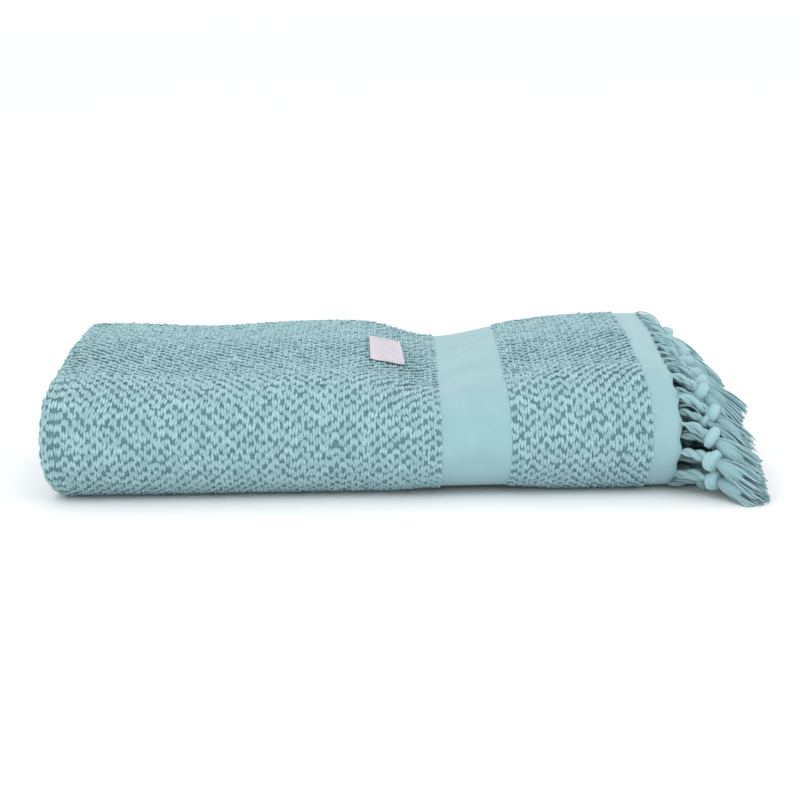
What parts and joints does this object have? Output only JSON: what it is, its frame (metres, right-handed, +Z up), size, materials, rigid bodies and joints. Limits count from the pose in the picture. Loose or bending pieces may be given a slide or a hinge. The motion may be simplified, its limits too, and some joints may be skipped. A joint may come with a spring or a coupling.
{
  "type": "bath towel",
  "caption": "Fringed cotton bath towel folded for the shelf, with a pebbled weave, flat woven bands and hems, knotted tassels and a sewn label.",
  "frame": {"origin": "centre of the bounding box at its base, on the surface that the towel lies on", "axes": "+X along the folded towel from its closed end to its fringe, +Y from the rounded front fold to the back, +Z up"},
  "size_m": [0.518, 0.3214, 0.1009],
  "materials": {
    "towel_cotton": "matt pebbled cotton weave with flat woven bands",
    "fringe_yarn": "matt twisted cotton yarn",
    "label_satin": "woven satin tape",
    "label_thread": "polyester sewing thread"
  },
  "bodies": {
    "folded_towel": {"towel_cloth": "towel_cotton", "label": "label_satin", "label_stitching_front": "label_thread", "label_stitching_back": "label_thread", "tassel_01": "fringe_yarn", "tassel_02": "fringe_yarn", "tassel_03": "fringe_yarn", "tassel_04": "fringe_yarn", "tassel_05": "fringe_yarn", "tassel_06": "fringe_yarn", "tassel_07": "fringe_yarn", "tassel_08": "fringe_yarn", "tassel_09": "fringe_yarn", "tassel_10": "fringe_yarn", "tassel_11": "fringe_yarn", "tassel_12": "fringe_yarn", "fringe_row_middle": "fringe_yarn", "fringe_row_inner_outside": "fringe_yarn", "fringe_row_inner_middle": "fringe_yarn"},
    "tassel_13": {"tassel_13": "fringe_yarn"},
    "tassel_14": {"tassel_14": "fringe_yarn"},
    "tassel_15": {"tassel_15": "fringe_yarn"},
    "tassel_16": {"tassel_16": "fringe_yarn"},
    "tassel_17": {"tassel_17": "fringe_yarn"},
    "tassel_18": {"tassel_18": "fringe_yarn"},
    "tassel_19": {"tassel_19": "fringe_yarn"},
    "tassel_20": {"tassel_20": "fringe_yarn"},
    "tassel_21": {"tassel_21": "fringe_yarn"},
    "tassel_22": {"tassel_22": "fringe_yarn"},
    "tassel_23": {"tassel_23": "fringe_yarn"},
    "tassel_24": {"tassel_24": "fringe_yarn"},
    "tassel_25": {"tassel_25": "fringe_yarn"},
    "tassel_26": {"tassel_26": "fringe_yarn"},
    "tassel_27": {"tassel_27": "fringe_yarn"},
    "tassel_28": {"tassel_28": "fringe_yarn"},
    "tassel_29": {"tassel_29": "fringe_yarn"},
    "tassel_30": {"tassel_30": "fringe_yarn"}
  },
  "joints": [
    {"name": "tassel_13_swing", "type": "hinge", "parent": "folded_towel", "child": "tassel_13", "pos_m": [0.20228, -0.11854, 0.01603], "axis": [0, 0, -1], "range_deg": [0, 60]},
    {"name": "tassel_14_swing", "type": "hinge", "parent": "folded_towel", "child": "tassel_14", "pos_m": [0.20451, -0.12844, 0.0337], "axis": [0, 0, -1], "range_deg": [0, 60]},
    {"name": "tassel_15_swing", "type": "hinge", "parent": "folded_towel", "child": "tassel_15", "pos_m": [0.20488, -0.12937, 0.05408], "axis": [0, 0, -1], "range_deg": [0, 60]},
    {"name": "tassel_16_swing", "type": "hinge", "parent": "folded_towel", "child": "tassel_16", "pos_m": [0.20302, -0.12112, 0.07264], "axis": [0, 0, -1], "range_deg": [0, 60]},
    {"name": "tassel_17_lift", "type": "hinge", "parent": "folded_towel", "child": "tassel_17", "pos_m": [0.2005, -0.10553, 0.08523], "axis": [0, -1, 0], "range_deg": [0, 75]},
    {"name": "tassel_18_lift", "type": "hinge", "parent": "folded_towel", "child": "tassel_18", "pos_m": [0.19955, -0.08608, 0.08913], "axis": [0, -1, 0], "range_deg": [0, 75]},
    {"name": "tassel_19_lift", "type": "hinge", "parent": "folded_towel", "child": "tassel_19", "pos_m": [0.19955, -0.06608, 0.08992], "axis": [0, -1, 0], "range_deg": [0, 75]},
    {"name": "tassel_20_lift", "type": "hinge", "parent": "folded_towel", "child": "tassel_20", "pos_m": [0.19955, -0.04608, 0.09164], "axis": [0, -1, 0], "range_deg": [0, 75]},
    {"name": "tassel_21_lift", "type": "hinge", "parent": "folded_towel", "child": "tassel_21", "pos_m": [0.19955, -0.02608, 0.09381], "axis": [0, -1, 0], "range_deg": [0, 75]},
    {"name": "tassel_22_lift", "type": "hinge", "parent": "folded_towel", "child": "tassel_22", "pos_m": [0.19955, -0.00608, 0.09593], "axis": [0, -1, 0], "range_deg": [0, 75]},
    {"name": "tassel_23_lift", "type": "hinge", "parent": "folded_towel", "child": "tassel_23", "pos_m": [0.19955, 0.01392, 0.0975], "axis": [0, -1, 0], "range_deg": [0, 75]},
    {"name": "tassel_24_lift", "type": "hinge", "parent": "folded_towel", "child": "tassel_24", "pos_m": [0.19955, 0.03392, 0.09804], "axis": [0, -1, 0], "range_deg": [0, 75]},
    {"name": "tassel_25_lift", "type": "hinge", "parent": "folded_towel", "child": "tassel_25", "pos_m": [0.19955, 0.05392, 0.09804], "axis": [0, -1, 0], "range_deg": [0, 75]},
    {"name": "tassel_26_lift", "type": "hinge", "parent": "folded_towel", "child": "tassel_26", "pos_m": [0.19955, 0.07392, 0.09804], "axis": [0, -1, 0], "range_deg": [0, 75]},
    {"name": "tassel_27_lift", "type": "hinge", "parent": "folded_towel", "child": "tassel_27", "pos_m": [0.19955, 0.09392, 0.09804], "axis": [0, -1, 0], "range_deg": [0, 75]},
    {"name": "tassel_28_lift", "type": "hinge", "parent": "folded_towel", "child": "tassel_28", "pos_m": [0.19958, 0.11392, 0.09791], "axis": [0, -1, 0], "range_deg": [0, 75]},
    {"name": "tassel_29_swing", "type": "hinge", "parent": "folded_towel", "child": "tassel_29", "pos_m": [0.20212, 0.12956, 0.0854], "axis": [0, 0, 1], "range_deg": [0, 60]},
    {"name": "tassel_30_swing", "type": "hinge", "parent": "folded_towel", "child": "tassel_30", "pos_m": [0.20451, 0.12832, 0.06376], "axis": [0, 0, 1], "range_deg": [0, 60]}
  ]
}
